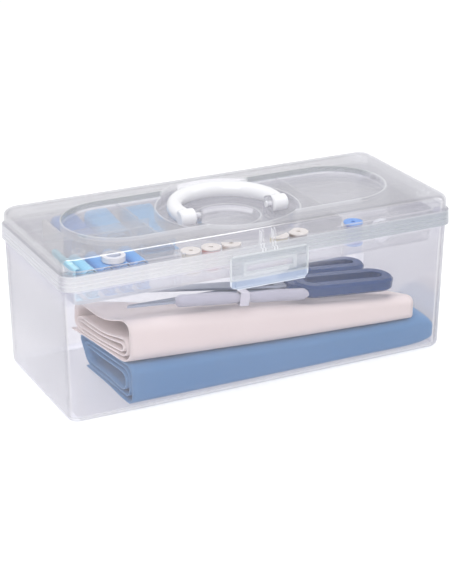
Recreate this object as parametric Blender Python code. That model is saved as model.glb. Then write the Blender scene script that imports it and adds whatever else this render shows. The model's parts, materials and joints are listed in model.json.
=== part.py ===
"""A clear plastic sewing box: frosted base, hinged lid with a ring handle, snap latch and lift-out tray.

Metres, +Z up. The origin is on the table under the middle of the box. X runs along the box's length and its
front faces -Y.
"""

import math

import bmesh
import bpy
from mathutils import Matrix, Vector

GAP = 0.0003  # clearance between pieces that touch on the real box

# Lid
LID_LENGTH = 0.330  # over the skirt
LID_WIDTH = 0.1372
LID_HEIGHT = 0.024  # the skirt's lower edge to the flat top
LID_WALL = 0.0016
LID_CORNER = 0.010
LID_EDGE = 0.006  # rounding between the wall and the flat top
LID_STEP = 0.0018  # the upper wall stands in this far from the skirt
LID_DRAFT = 0.0004  # the skirt leans in this far over its height
SLOT_LENGTH = 0.272  # long shallow recess in the top, with round ends
SLOT_WIDTH = 0.085
SLOT_DEPTH = 0.0047
WELL_RADIUS = 0.0565  # round recess for the handle
WELL_DEPTH = 0.012
DIMPLE_RADIUS = 0.026  # finger dimple in the middle of the round recess
DIMPLE_DEPTH = 0.004
RECESS_DRAFT = 0.001  # each recess is this much smaller at its floor
NUB_RADIUS = 0.0045  # stacking nubs on the top's corners
NUB_HEIGHT = 0.0008
NUB_INSET = (0.0193, 0.0168)  # from the lid's sides to a nub's middle
RIB_WIDTH = 0.0025  # two ribs above the latch
RIB_SPACING = 0.010

# Base
BASE_HEIGHT = 0.1155
BASE_WALL = 0.0018
BASE_FLOOR = 0.002
BASE_DRAFT = 0.0016  # each wall leans in this far, rim to floor
BASE_FOOT = 0.004  # rounding under the walls
SKIRT_CLEARANCE = 0.0007  # between the skirt and the base's wall
SKIRT_OVERLAP = 0.0095  # the skirt hangs this far below the base's rim

# Rear hinges
HINGE_SPACING = 0.180
HINGE_DROP = 0.0135  # from the base's rim down to the hinges' axis
HINGE_STAND_OFF = 0.0019  # the axis stands this far behind the skirt
KNUCKLE_RADIUS = 0.0034
KNUCKLE_LENGTH = 0.0134
EAR_THICKNESS = 0.003
PIN_RADIUS = 0.0019
CLIP_MOUTH = 0.003  # the knuckle's snap-in mouth

# Ring handle
HANDLE_RADIUS = 0.041  # to the middle of the tube
HANDLE_TUBE = 0.0065
HANDLE_PIN = 0.0025
HANDLE_REST = 0.0005  # the well's floor to the lying handle
HANDLE_SET_BACK = 0.0104  # the ring's middle behind the pivots
PIVOT_Y = -0.009
LUG_THICKNESS = 0.0035
LUG_WIDTH = 0.009
LUG_RISE = 0.0023  # the lug's rounded top is centred this far above the pivot
LUG_SPACE = 0.0007  # between a lug and the handle's boss

# Front latch
LATCH_WIDTH = 0.066
LATCH_HEIGHT = 0.026
LATCH_THICKNESS = 0.0018
LATCH_STAND_OFF = 0.0008  # the plate's back to the skirt's face
LATCH_CORNER = 0.004
LATCH_LIP = 0.005  # height of the lip at the plate's lower edge
WINDOW_WIDTH = 0.039
WINDOW_HEIGHT = 0.0055
WINDOW_DROP = 0.0141  # the plate's upper edge to the window's lower edge
FRAME_WIDTH = 0.003
FRAME_RISE = 0.0008
CATCH_WIDTH = 0.034
CATCH_HEIGHT = 0.004
LATCH_RISE = 0.0062  # the skirt's lower edge up to the plate's upper edge
BAR_HEIGHT = 0.0022  # the bar on the skirt that the plate hangs from
BAR_INSET = 0.002  # the bar ends this far inside the plate's sides
CATCH_GAP = 0.0004  # between the catch's face and the plate's back

# Tray
TRAY_LENGTH = 0.310
TRAY_WIDTH = 0.120
TRAY_DEPTH = 0.0268  # the tray's rim down to its underside
TRAY_WALL = 0.0015
TRAY_DRAFT = 0.003
TRAY_CORNER = 0.008
FLANGE_THICKNESS = 0.0015
FLANGE_CLEARANCE = 0.0008  # between the flange's end and the skirt's inner face
FLANGE_WIDTH = 0.108
DIVIDER_THICKNESS = 0.0014
DIVIDER_CORNER = 0.006
DIVIDER_X = 0.071
LONG_DIVIDER_Y = 0.0075
DIVIDER_CLEARANCE = 0.0008  # under the lid's long recess
GUIDE_SIZE = 0.0014  # the ribs that hold a cross divider

# Folded cloths in the base
CLOTH_WALL_GAP = 0.0025  # the base's inner wall to the cloths' front
CLOTH_DEPTH = 0.080
CLOTH_LEFT = -0.107
BLUE_RIGHT = 0.152
CREAM_RIGHT = 0.133
CREAM_THICKNESS = 0.030  # at the middle of the box
BLUE_SLOPE = -0.024
CREAM_ROOM = 0.027  # from the cream cloth up to the tray, at the middle of the box
CREAM_SLOPE = -0.09
CLOTH_EDGE = 0.005  # rounding of the blue cloth's folds
CREAM_EDGE = 0.004
CREAM_LEAST = 0.009  # least thickness at the back
CREAM_BACK_DROP = 0.020  # the cream cloth is this much lower at its back

# Scissors
SCISSORS_PIVOT = (0.018, -0.034)
SCISSORS_TILT = -CREAM_SLOPE
BLADE_LENGTH = 0.126
BLADE_WIDTH = 0.016
BLADE_THICKNESS = 0.002
BLADE_OPENING = math.radians(6)  # each blade's turn from the middle
BLADE_TAIL = 0.013  # from the screw to where the grip begins
GRIP_THICKNESS = 0.010
GRIP_RIM = 0.009  # width of the plastic round each finger hole
GRIP_EDGE = 0.002
GRIP_NECK = (0.0005, 0.0105)  # the neck's sides, from the scissors' middle line
GRIP_OVERLAP = 0.012  # the neck runs this far into the loop
GRIP_ROOT = (0.009, -0.006)  # the neck's sides in the loop, from its middle line
LARGE_GRIP_HALF = (0.044, 0.0155)
LARGE_GRIP_MIDDLE = (0.062, -0.0095)
SMALL_GRIP_HALF = (0.033, 0.0140)
SMALL_GRIP_MIDDLE = (0.066, 0.0235)
SCREW_RADIUS = 0.0021
SCREW_HEAD = 0.0045

# Elastic hank
HANK_LEFT_X = -0.074
HANK_LEFT_ROOM = 0.010  # from its left end's middle up to the tray
HANK_RIGHT_X = 0.040
HANK_RIGHT_ROOM = 0.0245
HANK_HEIGHT = 0.009
HANK_THICKNESS = 0.0055
HANK_WALL_GAP = 0.0045  # the base's inner wall to the hank's middle
HANK_BAND_WIDTH = 0.008
HANK_BAND_THICKNESS = 0.0006

# Spools of thread
SPOOL_RADIUS = 0.0078
SPOOL_HEIGHT = 0.0185
SPOOL_CORE = 0.0035
SPOOL_BORE = 0.0018
SPOOL_FLANGE = 0.0012
THREAD_INSET = 0.0008  # the wound thread stays this far inside the flanges
SPOOL_Y = -0.040
SPOOL_PLACES = (-0.051, -0.034, -0.017, 0.024, 0.041, 0.090)

# Other things in the tray
RIBBON_SIZE = (0.0125, 0.036, 0.0235)
RIBBON_PITCH = 0.0135
RIBBON_START = -0.1365
RIBBON_COUNT = 4
TAPE_RADIUS = 0.009
TAPE_BORE = 0.0055
TAPE_WIDTH = 0.0045
PIN_WHEEL_RADIUS = 0.0095
PIN_WHEEL_THICKNESS = 0.005
PIN_WHEEL_PLACE = (0.112, -0.046)

# Places that follow from the sizes
SKIRT_Z = BASE_HEIGHT - SKIRT_OVERLAP
TOP_Z = SKIRT_Z + LID_HEIGHT
SEAT_Z = BASE_HEIGHT + FLANGE_THICKNESS + 2 * GAP
LID_HALF = Vector((LID_LENGTH / 2, LID_WIDTH / 2))
UPPER_HALF = LID_HALF - Vector((LID_STEP, LID_STEP))
BASE_HALF = LID_HALF - Vector((1, 1)) * (LID_WALL + SKIRT_CLEARANCE)
HINGE_Y = LID_WIDTH / 2 + HINGE_STAND_OFF
HINGE_Z = BASE_HEIGHT - HINGE_DROP
WELL_Z = TOP_Z - WELL_DEPTH
PIVOT_Z = WELL_Z + HANDLE_TUBE + HANDLE_REST
HANDLE_Y = PIVOT_Y + HANDLE_SET_BACK
BOSS_X = math.sqrt(HANDLE_RADIUS**2 - (HANDLE_Y - PIVOT_Y) ** 2)
LATCH_FACE = -LID_WIDTH / 2 - LATCH_STAND_OFF - LATCH_THICKNESS
LATCH_BACK = LATCH_FACE + LATCH_THICKNESS
LATCH_TOP = SKIRT_Z + LATCH_RISE
WINDOW_Z = LATCH_TOP - WINDOW_DROP
TRAY_TOP = BASE_HEIGHT + GAP + FLANGE_THICKNESS
TRAY_BOTTOM = TRAY_TOP - TRAY_DEPTH
CLOTH_FRONT = BASE_WALL - BASE_HALF.y + CLOTH_WALL_GAP
CLOTH_BACK = CLOTH_FRONT + CLOTH_DEPTH
CREAM_TOP = TRAY_BOTTOM - CREAM_ROOM
BLUE_TOP = CREAM_TOP - CREAM_THICKNESS
HANK_LEFT = Vector((HANK_LEFT_X, TRAY_BOTTOM - HANK_LEFT_ROOM))
HANK_RIGHT = Vector((HANK_RIGHT_X, TRAY_BOTTOM - HANK_RIGHT_ROOM))
HANK_Y = BASE_WALL - BASE_HALF.y + HANK_WALL_GAP
DIVIDER_TOP = TOP_Z - SLOT_DEPTH - LID_WALL - DIVIDER_CLEARANCE


def material(name, colour, roughness, transmission=0.0):
    made = bpy.data.materials.new(name)
    made.use_nodes = True
    shader = made.node_tree.nodes["Principled BSDF"]
    shader.inputs["Base Color"].default_value = (*colour, 1)
    shader.inputs["Roughness"].default_value = roughness
    shader.inputs["Metallic"].default_value = 0
    shader.inputs["Transmission Weight"].default_value = transmission
    return made


def rectangle(half_x, half_y, radius, z, steps=5):
    """A rounded rectangle at height z, anticlockwise. With radius equal to half_y its ends are half circles."""
    points = []
    for turn, (side_x, side_y) in enumerate(((1, 1), (-1, 1), (-1, -1), (1, -1))):
        middle = Vector((side_x * (half_x - radius), side_y * (half_y - radius), z))
        for step in range(steps + 1):
            angle = math.pi / 2 * (turn + step / steps)
            point = middle + Vector((math.cos(angle), math.sin(angle), 0)) * radius
            if not points or (point - points[-1]).length > 1e-6:
                points.append(point)
    if (points[0] - points[-1]).length < 1e-6:
        points.pop()
    return points


def circle(middle, radius, axis="Z", steps=24):
    """Points round the axis through middle."""
    turned = {"X": Matrix(((0, 0, 1), (1, 0, 0), (0, 1, 0))), "Z": Matrix.Identity(3)}[axis]
    angles = (2 * math.pi * step / steps for step in range(steps))
    return [Vector(middle) + turned @ Vector((math.cos(a), math.sin(a), 0)) * radius for a in angles]


def arc_in_yz(middle_y, middle_z, radius, start, end, steps=8):
    """(y, z) along an arc, with angles in degrees from +Y towards +Z."""
    angles = (math.radians(start + (end - start) * step / steps) for step in range(steps + 1))
    return [(middle_y + radius * math.cos(a), middle_z + radius * math.sin(a)) for a in angles]


def add_loft(mesh, rings):
    """Adds a closed body through rings of points, with a flat face at each end."""
    rows = [[mesh.verts.new(point) for point in ring] for ring in rings]
    for lower, upper in zip(rows, rows[1:]):
        for here in range(len(lower)):
            after = (here + 1) % len(lower)
            mesh.faces.new((lower[here], lower[after], upper[after], upper[here]))
    mesh.faces.new(list(reversed(rows[0])))
    mesh.faces.new(rows[-1])


def add_slab(mesh, outline, low_x, high_x):
    """Adds an outline of (y, z) points extruded along X."""
    add_loft(mesh, [[(x, y, z) for y, z in outline] for x in (low_x, high_x)])


def add_box(mesh, low, high):
    corners = ((low[0], low[1]), (high[0], low[1]), (high[0], high[1]), (low[0], high[1]))
    add_loft(mesh, [[(x, y, z) for x, y in corners] for z in (low[2], high[2])])


def finish(name, mesh, look=None, pivot=(0, 0, 0)):
    """Turns the bmesh into an object with its origin at pivot. One without a look is a helper."""
    bmesh.ops.recalc_face_normals(mesh, faces=mesh.faces)
    data = bpy.data.meshes.new(name)
    mesh.to_mesh(data)
    mesh.free()
    data.shade_smooth()
    data.set_sharp_from_angle(angle=math.radians(35))
    data.transform(Matrix.Translation(-Vector(pivot)))
    made = bpy.data.objects.new(name, data)
    made.location = pivot
    bpy.context.scene.collection.objects.link(made)
    if look:
        data.materials.append(look)
    else:
        made.hide_render = True
        made.display_type = "WIRE"
    return made


def loft(name, rings, look=None, pivot=(0, 0, 0)):
    mesh = bmesh.new()
    add_loft(mesh, rings)
    return finish(name, mesh, look, pivot)


def boxes(name, corners, look=None):
    mesh = bmesh.new()
    for low, high in corners:
        add_box(mesh, low, high)
    return finish(name, mesh, look)


def combine(target, operation, *tools):
    for tool in tools:
        modifier = target.modifiers.new(tool.name, "BOOLEAN")
        modifier.operation = operation
        modifier.object = tool


def grown(half, amount):
    return half.x + amount, half.y + amount


def wall_profile(half, corner, low, high, draft):
    """Two rings of a drafted wall: full size at the top, smaller by the draft at the bottom."""
    return [
        rectangle(*grown(half, -draft), corner - draft, low),
        rectangle(*grown(half, 0), corner, high),
    ]


def rounded_foot(half, corner, low, edge, steps=3):
    """Rings that round the lower edge of a wall, from a smaller flat bottom upwards."""
    rings = []
    for step in range(steps + 1):
        angle = math.pi / 2 * step / steps
        inset = edge * (1 - math.sin(angle))
        rings.append(
            rectangle(*grown(half, -inset), corner - inset * 0.8, low + edge * (1 - math.cos(angle)))
        )
    return rings


def make_base(look):
    foot_half = BASE_HALF - Vector((BASE_DRAFT, BASE_DRAFT))
    corner = LID_CORNER - LID_WALL
    inner_half = BASE_HALF - Vector((BASE_WALL, BASE_WALL))
    inner_foot = foot_half - Vector((BASE_WALL, BASE_WALL))
    outside = rounded_foot(foot_half, corner, 0, BASE_FOOT)
    outside.append(rectangle(*BASE_HALF, corner, BASE_HEIGHT))
    inside = [rectangle(*inner_half, corner - BASE_WALL, BASE_HEIGHT)]
    inside += reversed(rounded_foot(inner_foot, corner - BASE_WALL, BASE_FLOOR, BASE_FOOT - BASE_WALL))
    base = loft("base", outside + inside, look)

    catch_low = WINDOW_Z + (WINDOW_HEIGHT - CATCH_HEIGHT) / 2
    wall_face = -BASE_HALF.y
    catch = boxes(
        "base_catch",
        [
            (
                (-CATCH_WIDTH / 2, LATCH_BACK + CATCH_GAP, catch_low),
                (CATCH_WIDTH / 2, wall_face + BASE_WALL, catch_low + CATCH_HEIGHT),
            )
        ],
    )
    combine(base, "UNION", catch)
    for side, place in (("left", -HINGE_SPACING / 2), ("right", HINGE_SPACING / 2)):
        combine(base, "UNION", make_ears(f"hinge_ears_{side}", place))
    return base


def make_ears(name, place):
    """Two ears on the rear wall with the moulded pin between them."""
    ears = bmesh.new()
    root_y = BASE_HALF.y - BASE_WALL
    outline = arc_in_yz(HINGE_Y, HINGE_Z, KNUCKLE_RADIUS, -90, 90)
    outline += [(root_y, HINGE_Z + KNUCKLE_RADIUS), (root_y, HINGE_Z - 2 * KNUCKLE_RADIUS)]
    inner = KNUCKLE_LENGTH / 2 + GAP
    for side in (-1, 1):
        low, high = sorted((side * inner, side * (inner + EAR_THICKNESS)))
        add_slab(ears, outline, place + low, place + high)
    made = finish(name, ears)
    reach = inner + EAR_THICKNESS / 2
    pin = loft(
        f"{name}_pin",
        [circle((place + x, HINGE_Y, HINGE_Z), PIN_RADIUS, "X", 16) for x in (-reach, reach)],
    )
    combine(made, "UNION", pin)
    return made


def make_lid(look):
    lid = make_lid_shell(look)
    slot_half = Vector((SLOT_LENGTH / 2, SLOT_WIDTH / 2))
    slot_z = TOP_Z - SLOT_DEPTH
    dimple_z = WELL_Z - DIMPLE_DEPTH
    above = TOP_Z + 0.002

    def recess(name, grow, drop):
        """The long slot, the round well and the finger dimple, each grown by a wall and dropped by it."""
        slot = [
            rectangle(slot_half.x + grow - inset, slot_half.y + grow - inset, slot_half.y + grow - inset, z, 8)
            for z, inset in ((slot_z - drop, RECESS_DRAFT), (above, 0))
        ]
        well = [
            circle((0, 0, z), WELL_RADIUS + grow - inset, "Z", 48)
            for z, inset in ((WELL_Z - drop, RECESS_DRAFT), (above, 0))
        ]
        dimple = [
            circle((0, 0, z), DIMPLE_RADIUS + grow - inset, "Z", 36)
            for z, inset in ((dimple_z - drop, 2 * RECESS_DRAFT), (WELL_Z - drop + 0.001, 0))
        ]
        rings_of = {"slot": slot, "well": well, "dimple": dimple}
        return [loft(f"{name}_{part}", rings) for part, rings in rings_of.items()]

    cavity = make_lid_cavity()
    combine(cavity, "DIFFERENCE", *recess("under", LID_WALL, LID_WALL))
    combine(lid, "DIFFERENCE", cavity)
    combine(lid, "DIFFERENCE", *recess("recess", 0, 0))
    combine(lid, "UNION", make_nubs(), make_lugs(), make_front_ribs(), *make_knuckles())
    combine(lid, "DIFFERENCE", *make_lid_holes())
    return lid


def edge_rings(half, corner, top, edge, steps=4):
    """Rings that round a wall over into a flat top."""
    rings = []
    for step in range(steps + 1):
        angle = math.pi / 2 * step / steps
        inset = edge * (1 - math.cos(angle))
        rings.append(rectangle(*grown(half, -inset), corner - inset * 0.5, top - edge * (1 - math.sin(angle))))
    return rings


def make_lid_shell(look):
    skirt_top = LID_HALF - Vector((LID_DRAFT, LID_DRAFT))
    rings = [
        rectangle(*LID_HALF, LID_CORNER, SKIRT_Z),
        rectangle(*skirt_top, LID_CORNER, SEAT_Z),
        rectangle(*UPPER_HALF, LID_CORNER, SEAT_Z + LID_WALL),
    ]
    rings += edge_rings(UPPER_HALF, LID_CORNER, TOP_Z, LID_EDGE)
    return loft("lid", rings, look, (0, HINGE_Y, HINGE_Z))


def make_lid_cavity():
    skirt_inner = LID_HALF - Vector((LID_WALL, LID_WALL))
    upper_inner = UPPER_HALF - Vector((LID_WALL, LID_WALL))
    corner = LID_CORNER - LID_WALL
    rings = [
        rectangle(*skirt_inner, corner, SKIRT_Z - 0.002),
        rectangle(*skirt_inner, corner, SEAT_Z),
        rectangle(*upper_inner, corner, SEAT_Z + GAP / 10),
    ]
    rings += edge_rings(upper_inner, corner, TOP_Z - LID_WALL, LID_EDGE - LID_WALL)
    return loft("lid_cavity", rings)


def make_nubs():
    mesh = bmesh.new()
    reach = LID_HALF - Vector(NUB_INSET)
    for x in (-reach.x, reach.x):
        for y in (-reach.y, reach.y):
            heights = ((TOP_Z - 0.0005, 0), (TOP_Z + NUB_HEIGHT, 0.0004))
            add_loft(mesh, [circle((x, y, z), NUB_RADIUS - inset, "Z", 16) for z, inset in heights])
    return finish("stacking_nubs", mesh)


def lug_faces():
    outer = BOSS_X - HANDLE_TUBE - LUG_SPACE
    return outer - LUG_THICKNESS, outer


def make_lugs():
    mesh = bmesh.new()
    outline = arc_in_yz(PIVOT_Y, PIVOT_Z + LUG_RISE, LUG_WIDTH / 2, 0, 180, 10)
    root = WELL_Z - LID_WALL / 2
    outline += [(PIVOT_Y - LUG_WIDTH / 2, root), (PIVOT_Y + LUG_WIDTH / 2, root)]
    for side in (-1, 1):
        add_slab(mesh, outline, *sorted(side * x for x in lug_faces()))
    return finish("handle_lugs", mesh)


def make_front_ribs():
    """The two ribs above the latch and the bar that its plate hangs from."""
    mesh = bmesh.new()
    face = -LID_WIDTH / 2
    inside = face + LID_STEP + LID_WALL / 2
    bar_low = LATCH_TOP + GAP
    for x in (-RIB_SPACING / 2, RIB_SPACING / 2):
        low = (x - RIB_WIDTH / 2, face + LID_DRAFT, SEAT_Z - LID_WALL)
        add_box(mesh, low, (x + RIB_WIDTH / 2, inside, TOP_Z - LID_EDGE / 2))
    bar_half = LATCH_WIDTH / 2 - BAR_INSET
    add_box(mesh, (-bar_half, LATCH_FACE, bar_low), (bar_half, face + LID_WALL / 2, bar_low + BAR_HEIGHT))
    return finish("front_ribs", mesh)


def make_knuckles():
    """On each hinge, a barrel round the base's pin and a web up to the skirt."""
    made = []
    for side, place in (("left", -HINGE_SPACING / 2), ("right", HINGE_SPACING / 2)):
        ends = (place - KNUCKLE_LENGTH / 2, place + KNUCKLE_LENGTH / 2)
        rings = [circle((x, HINGE_Y, HINGE_Z), KNUCKLE_RADIUS, "X", 20) for x in ends]
        made.append(loft(f"knuckle_{side}", rings))
        web_low = (ends[0], LID_WIDTH / 2 - LID_WALL / 2, HINGE_Z + PIN_RADIUS + GAP + 0.0003)
        web_high = (ends[1], HINGE_Y + KNUCKLE_RADIUS / 3, SKIRT_Z + LID_WALL * 2.5)
        made.append(boxes(f"knuckle_web_{side}", [(web_low, web_high)]))
    return made


def make_lid_holes():
    """The handle's pin holes and the knuckles' bores with their snap-in mouths."""
    reach = BOSS_X
    hole = [circle((x, PIVOT_Y, PIVOT_Z), HANDLE_PIN + GAP, "X", 20) for x in (-reach, reach)]
    made = [loft("handle_holes", hole)]
    for side, place in (("left", -HINGE_SPACING / 2), ("right", HINGE_SPACING / 2)):
        ends = (place - KNUCKLE_LENGTH, place + KNUCKLE_LENGTH)
        bore = [circle((x, HINGE_Y, HINGE_Z), PIN_RADIUS + GAP, "X", 16) for x in ends]
        made.append(loft(f"knuckle_bore_{side}", bore))
        mouth_low = (ends[0], HINGE_Y - CLIP_MOUTH / 2, HINGE_Z - 2 * KNUCKLE_RADIUS)
        made.append(boxes(f"knuckle_mouth_{side}", [(mouth_low, (ends[1], HINGE_Y + CLIP_MOUTH / 2, HINGE_Z))]))
    return made


def make_handle(look):
    """A C-shaped ring lying back from its pivot, with a boss and an inward pin at each end."""
    middle = Vector((0, HANDLE_Y, PIVOT_Z))
    start = math.asin((PIVOT_Y - HANDLE_Y) / HANDLE_RADIUS)
    turns = 28
    rings = []
    for step in range(turns + 1):
        angle = start + (math.pi - 2 * start) * step / turns
        out = Vector((math.cos(angle), math.sin(angle), 0))
        spots = (2 * math.pi * spot / 14 for spot in range(14))
        rings.append(
            [
                middle + out * (HANDLE_RADIUS + HANDLE_TUBE * math.cos(s)) + Vector((0, 0, HANDLE_TUBE * math.sin(s)))
                for s in spots
            ]
        )
    handle = loft("handle", rings, look, (0, PIVOT_Y, PIVOT_Z))
    for side, name in ((-1, "left"), (1, "right")):
        inner, outer = BOSS_X - HANDLE_TUBE, BOSS_X + HANDLE_TUBE
        ends = ((inner, 0.0012), (inner + 0.0012, 0), (outer - 0.0012, 0), (outer, 0.0012))
        boss = [circle((side * x, PIVOT_Y, PIVOT_Z), HANDLE_TUBE - inset, "X", 20) for x, inset in ends]
        reach = (lug_faces()[0] - 0.0004, inner + 0.001)
        pin = [circle((side * x, PIVOT_Y, PIVOT_Z), HANDLE_PIN, "X", 16) for x in reach]
        combine(handle, "UNION", loft(f"handle_boss_{name}", boss), loft(f"handle_pin_{name}", pin))
    return handle


def upright(outline, front, back):
    """Rings of an (x, z) outline extruded along Y."""
    return [[(point.x, y, point.y) for point in outline] for y in (front, back)]


def make_latch(look):
    low = LATCH_TOP - LATCH_HEIGHT
    middle_z = (LATCH_TOP + low) / 2
    outline = [
        Vector((p.x, p.y + middle_z)) for p in rectangle(LATCH_WIDTH / 2, LATCH_HEIGHT / 2, LATCH_CORNER, 0, 4)
    ]
    plate = loft("front_latch", upright(outline, LATCH_FACE, LATCH_BACK), look, (0, LATCH_FACE, LATCH_TOP))

    window_low = (-WINDOW_WIDTH / 2, WINDOW_Z)
    window_high = (WINDOW_WIDTH / 2, WINDOW_Z + WINDOW_HEIGHT)
    frame = boxes(
        "latch_frame",
        [
            (
                (window_low[0] - FRAME_WIDTH, LATCH_FACE - FRAME_RISE, window_low[1] - FRAME_WIDTH),
                (window_high[0] + FRAME_WIDTH, LATCH_FACE + LATCH_THICKNESS / 2, window_high[1] + FRAME_WIDTH),
            )
        ],
    )
    lip = bmesh.new()
    tip_y = -(HINGE_Y + KNUCKLE_RADIUS)
    lip_top = low + LATCH_LIP
    outline = [
        (LATCH_FACE + LATCH_THICKNESS / 2, lip_top + 0.002),
        (LATCH_FACE, lip_top + 0.002),
        (tip_y, low + 0.001),
        (tip_y + 0.0002, low),
        (LATCH_FACE + LATCH_THICKNESS / 2, low + 0.0012),
    ]
    lip_half = LATCH_WIDTH / 2 - LATCH_CORNER
    add_slab(lip, outline, -lip_half, lip_half)
    combine(plate, "UNION", frame, finish("latch_lip", lip))
    window = boxes(
        "latch_window",
        [((window_low[0], LATCH_FACE - 0.005, window_low[1]), (window_high[0], LATCH_BACK + 0.005, window_high[1]))],
    )
    combine(plate, "DIFFERENCE", window)
    return plate


def make_tray(look):
    """An open tray with a flange at each end, a lengthways divider and guide ribs for the cross dividers."""
    half = Vector((TRAY_LENGTH / 2, TRAY_WIDTH / 2))
    inner = half - Vector((TRAY_WALL, TRAY_WALL))
    outside = wall_profile(half, TRAY_CORNER, TRAY_BOTTOM, TRAY_TOP, TRAY_DRAFT)
    inside = wall_profile(inner, TRAY_CORNER - TRAY_WALL, TRAY_BOTTOM + TRAY_WALL, TRAY_TOP, TRAY_DRAFT)
    tray = loft("tray", outside + inside[::-1], look, (0, 0, TRAY_BOTTOM))

    flange_end = LID_HALF.x - LID_WALL - FLANGE_CLEARANCE
    flange_low = TRAY_TOP - FLANGE_THICKNESS
    flanges = []
    for side in (-1, 1):
        near, far = sorted((side * (half.x - TRAY_WALL / 2), side * flange_end))
        flanges.append(((near, -FLANGE_WIDTH / 2, flange_low), (far, FLANGE_WIDTH / 2, TRAY_TOP)))
    thick = DIVIDER_THICKNESS / 2
    floor = TRAY_BOTTOM + TRAY_WALL / 2
    divider = boxes(
        "long_divider",
        [
            (
                (-inner.x - TRAY_WALL / 2 + TRAY_DRAFT, LONG_DIVIDER_Y - thick, floor),
                (inner.x + TRAY_WALL / 2 - TRAY_DRAFT, LONG_DIVIDER_Y + thick, DIVIDER_TOP),
            )
        ],
    )
    combine(tray, "UNION", boxes("tray_flanges", flanges), divider, make_guides(inner, floor))
    well_reach = WELL_RADIUS + LID_WALL + 0.006
    clear_of_dimple = WELL_Z - DIMPLE_DEPTH - LID_WALL - 2 * GAP
    notch = boxes(
        "handle_well_notch",
        [((-well_reach, -half.y - 0.01, clear_of_dimple), (well_reach, half.y + 0.01, TOP_Z))],
    )
    combine(tray, "DIFFERENCE", notch)
    return tray


def make_guides(inner, floor):
    """Pairs of small ribs that a cross divider slides between."""
    mesh = bmesh.new()
    top = TRAY_TOP - 0.002
    deep = TRAY_WALL / 2 + TRAY_DRAFT
    reach = GUIDE_SIZE + 0.0006
    spots = (
        (-inner.y - TRAY_WALL / 2, -inner.y + deep + reach),
        (LONG_DIVIDER_Y - DIVIDER_THICKNESS / 2 - reach, LONG_DIVIDER_Y),
        (LONG_DIVIDER_Y, LONG_DIVIDER_Y + DIVIDER_THICKNESS / 2 + reach),
        (inner.y - deep - reach, inner.y + TRAY_WALL / 2),
    )
    beside = DIVIDER_THICKNESS / 2 + GAP
    for x in (-DIVIDER_X, DIVIDER_X):
        for side in (-1, 1):
            near, far = sorted((x + side * beside, x + side * (beside + GUIDE_SIZE)))
            add_box(mesh, (near, spots[0][0], floor), (far, spots[0][1], top))
            add_box(mesh, (near, spots[1][0], floor), (far, spots[2][1], top))
            add_box(mesh, (near, spots[3][0], floor), (far, spots[3][1], top))
    return finish("divider_guides", mesh)


def make_cross_dividers(look):
    """Four slide-in plates, each between a long wall and the lengthways divider."""
    wall = TRAY_WIDTH / 2 - TRAY_WALL - TRAY_DRAFT - GAP
    low = TRAY_BOTTOM + TRAY_WALL + GAP
    beside = DIVIDER_THICKNESS / 2 + GAP
    spans = {"front": (-wall, LONG_DIVIDER_Y - beside), "rear": (LONG_DIVIDER_Y + beside, wall)}
    for side, x in (("left", -DIVIDER_X), ("right", DIVIDER_X)):
        for depth, (near, far) in spans.items():
            top = DIVIDER_TOP
            outline = [(near, low), (far, low)]
            outline += arc_in_yz(far - DIVIDER_CORNER, top - DIVIDER_CORNER, DIVIDER_CORNER, 0, 90, 5)
            outline += arc_in_yz(near + DIVIDER_CORNER, top - DIVIDER_CORNER, DIVIDER_CORNER, 90, 180, 5)
            mesh = bmesh.new()
            add_slab(mesh, outline, x - DIVIDER_THICKNESS / 2, x + DIVIDER_THICKNESS / 2)
            finish(f"divider_{side}_{depth}", mesh, look)


def cloth_section(x, front, back, low, high_front, high_back, radius, steps=4):
    """A rounded four-sided section across X, anticlockwise as seen from the right."""
    corners = (
        (back - radius, high_back - radius, 0),
        (front + radius, high_front - radius, 90),
        (front + radius, low + radius, 180),
        (back - radius, low + radius, 270),
    )
    points = []
    for middle_y, middle_z, start in corners:
        points += arc_in_yz(middle_y, middle_z, radius, start, start + 90, steps)
    return [Vector((x, y, z)) for y, z in points]


def blue_top(x):
    return BLUE_TOP + BLUE_SLOPE * x


def cream_top(x):
    return CREAM_TOP + CREAM_SLOPE * x


def make_cloths(blue, cream):
    """Two folded cloths on the base's floor, the cream one on the blue one."""
    floor = BASE_FLOOR + GAP
    nose = ((CLOTH_LEFT, 1), (CREAM_RIGHT, 1), (BLUE_RIGHT - 0.006, 0.8), (BLUE_RIGHT, 0.45))
    rings = []
    for x, share in nose:
        high = floor + (blue_top(x) - floor) * share
        edge = min(CLOTH_EDGE, 0.45 * (high - floor))
        rings.append(cloth_section(x, CLOTH_FRONT, CLOTH_BACK, floor, high, high, edge))
    loft("blue_cloth", rings, blue)
    rings = []
    for x in (CLOTH_LEFT, 0, CREAM_RIGHT):
        low = blue_top(x) + GAP
        back = max(cream_top(x) - CREAM_BACK_DROP, low + CREAM_LEAST)
        rings.append(cloth_section(x, CLOTH_FRONT, CLOTH_BACK, low, cream_top(x), back, CREAM_EDGE))
    loft("cream_cloth", rings, cream)


def flat_plate(mesh, outline, low, high):
    """Adds an (x, y) outline extruded along Z."""
    add_loft(mesh, [[(x, y, z) for x, y in outline] for z in (low, high)])


def turned(points, angle):
    cosine, sine = math.cos(angle), math.sin(angle)
    return [(x * cosine - y * sine, x * sine + y * cosine) for x, y in points]


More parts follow.
